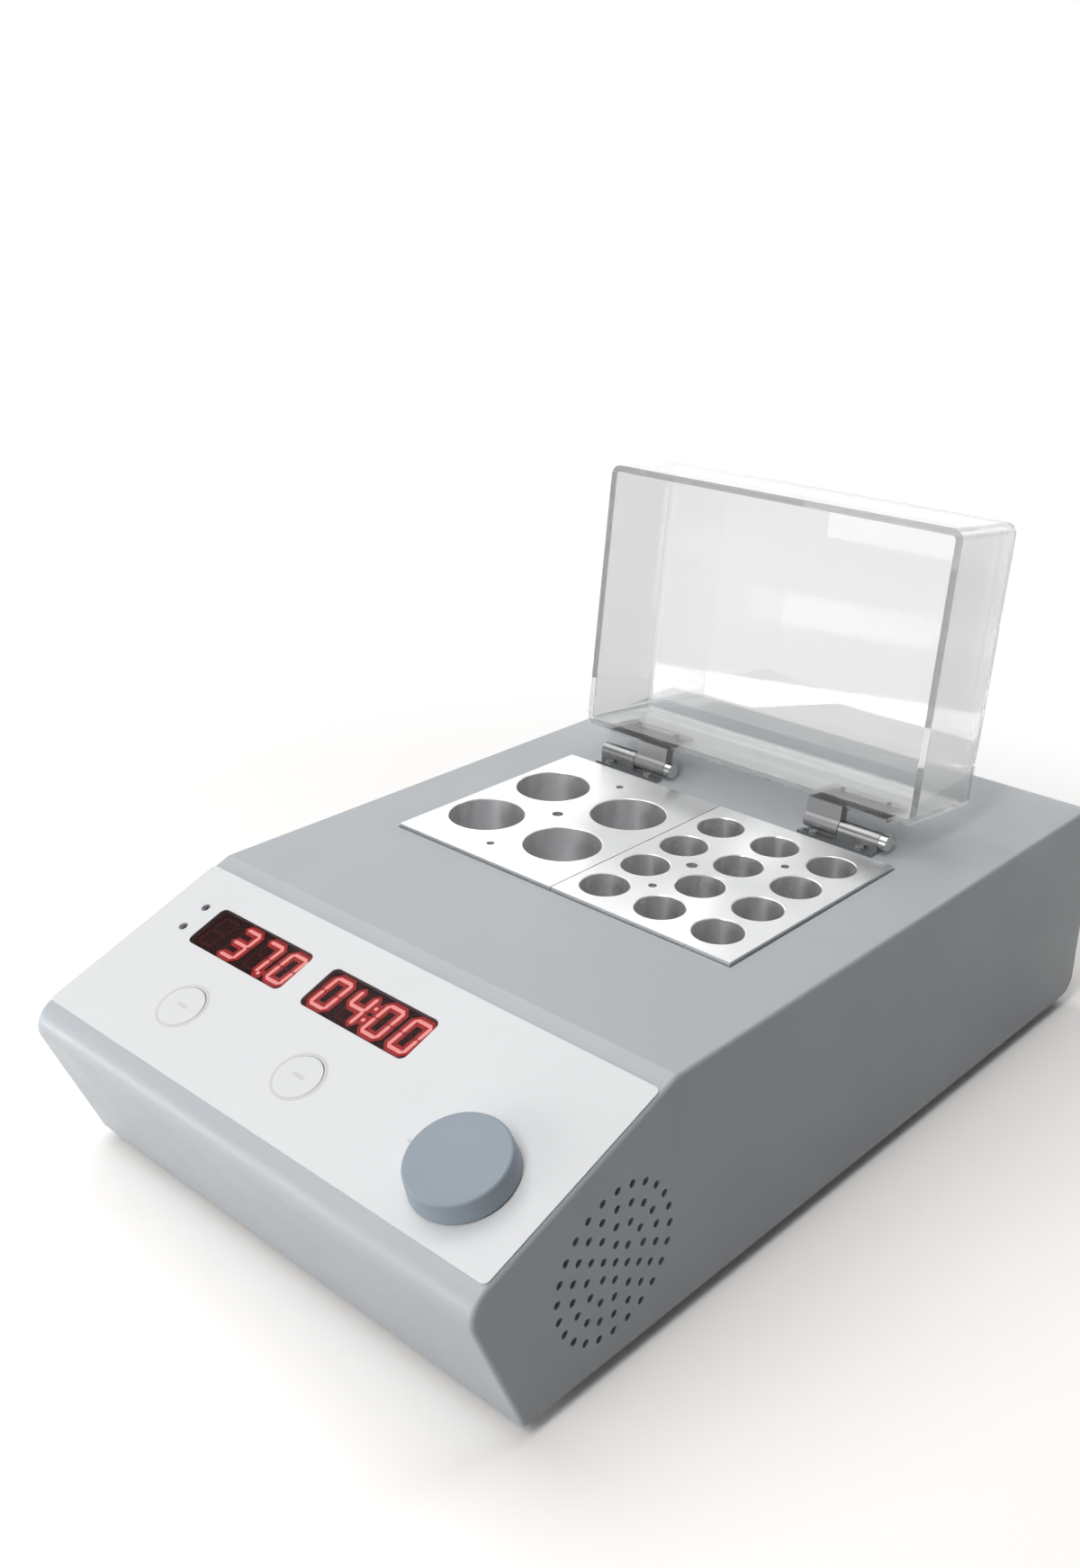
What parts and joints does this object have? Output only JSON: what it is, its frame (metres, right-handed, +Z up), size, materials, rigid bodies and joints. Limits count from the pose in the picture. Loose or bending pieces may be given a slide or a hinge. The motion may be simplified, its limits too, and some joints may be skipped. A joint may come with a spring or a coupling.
{
  "type": "dry bath incubator",
  "caption": "Bench-top dry bath with two drilled heating blocks in a grey housing, a hinged clear cover and a sloped panel with red displays, keys and a rotary knob.",
  "frame": {"origin": "centre of the bounding box on the plane under the feet", "axes": "+X to the right, +Y from the nose to the rear, +Z up"},
  "size_m": [0.2052, 0.3467, 0.2064],
  "materials": {
    "housing": "satin light grey",
    "overlay": "satin white polyester overlay",
    "lens": "dark red transparent window",
    "display": "black display module with red segments",
    "lamp": "diffused lamp body",
    "board": "green glass-fibre board",
    "component": "black moulded component",
    "key": "satin pale grey key",
    "knob": "satin blue-grey",
    "steel": "bright steel",
    "dark_metal": "dark bronze finish",
    "block": "machined and clear anodised",
    "liner": "thin stainless sheet",
    "wool": "pressed mineral wool",
    "silicone": "silicone heater mat",
    "lid": "clear acrylic",
    "rubber": "black rubber",
    "black_plastic": "black moulded plastic",
    "copper": "plated copper alloy",
    "ceramic": "glazed insulator"
  },
  "bodies": {
    "chassis": {"top_housing": "housing", "base_plate": "housing", "rubber_feet": "rubber", "foot_screws": "steel", "panel_overlay": "overlay", "temperature_lens": "lens", "timer_lens": "lens", "temperature_display": "display", "timer_display": "display", "indicator_leds": "lamp", "control_board": "board", "control_board_screws": "steel", "key_switches": "component", "encoder_body": "component", "encoder_nut": "steel", "well_liner": "liner", "well_insulation": "wool", "heater_plate": "block", "heater_mat": "silicone", "heater_pad": "wool", "heater_posts": "ceramic", "temperature_sensor": "steel", "thermal_cutout": "ceramic", "hinge_base_leaves": "steel", "hinge_pins": "steel", "hinge_base_screws": "steel", "power_inlet": "black_plastic", "inlet_blades": "copper", "inlet_screws": "steel", "rocker_switch_body": "black_plastic", "power_board": "board", "power_board_stands": "steel", "transformer": "component", "capacitors": "component", "heater_relay": "component", "heat_sink": "block", "fan_frame": "component", "fan_screws": "steel"},
    "left_block": {"left_block": "block"},
    "right_block": {"right_block": "block"},
    "lid": {"lid_cover": "lid", "hinge_lid_leaves": "dark_metal", "hinge_lid_screws": "dark_metal"},
    "encoder_push": {"encoder_plunger": "steel"},
    "knob": {"control_knob": "knob", "encoder_shaft": "steel"},
    "left_key": {"left_key": "key"},
    "right_key": {"right_key": "key"},
    "rocker": {"rocker": "black_plastic"},
    "fuse_drawer": {"fuse_drawer": "black_plastic", "fuse": "lid"},
    "fan_rotor": {"fan_rotor": "component"}
  },
  "joints": [
    {"name": "left_block_lift", "type": "slide", "parent": "chassis", "child": "left_block", "axis": [0, 0, 1], "range_m": [0, 0.055]},
    {"name": "right_block_lift", "type": "slide", "parent": "chassis", "child": "right_block", "axis": [0, 0, 1], "range_m": [0, 0.055]},
    {"name": "lid_hinge", "type": "hinge", "parent": "chassis", "child": "lid", "pos_m": [0, 0.07122, 0.0928], "axis": [-1, 0, 0], "range_deg": [-96.6, 7]},
    {"name": "encoder_press", "type": "slide", "parent": "chassis", "child": "encoder_push", "axis": [0, 0.3445, -0.9388], "range_m": [0, 0.0005], "stiffness_N_per_m": 4000},
    {"name": "knob_turn", "type": "hinge", "parent": "encoder_push", "child": "knob", "pos_m": [0.0732, -0.14824, 0.07362], "axis": [0, -0.3445, 0.9388], "continuous": true},
    {"name": "left_key_press", "type": "slide", "parent": "chassis", "child": "left_key", "axis": [0, 0.3445, -0.9388], "range_m": [0, 0.0005], "stiffness_N_per_m": 3000},
    {"name": "right_key_press", "type": "slide", "parent": "chassis", "child": "right_key", "axis": [0, 0.3445, -0.9388], "range_m": [0, 0.0005], "stiffness_N_per_m": 3000},
    {"name": "rocker_tip", "type": "hinge", "parent": "chassis", "child": "rocker", "pos_m": [0.02, 0.16742, 0.047], "axis": [-1, 0, 0], "range_deg": [0, 16]},
    {"name": "fuse_drawer_slide", "type": "slide", "parent": "chassis", "child": "fuse_drawer", "axis": [0, 1, 0], "range_m": [0, 0.014]},
    {"name": "fan_spin", "type": "hinge", "parent": "chassis", "child": "fan_rotor", "pos_m": [0.0926, -0.11728, 0.0394], "axis": [1, 0, 0], "continuous": true}
  ]
}
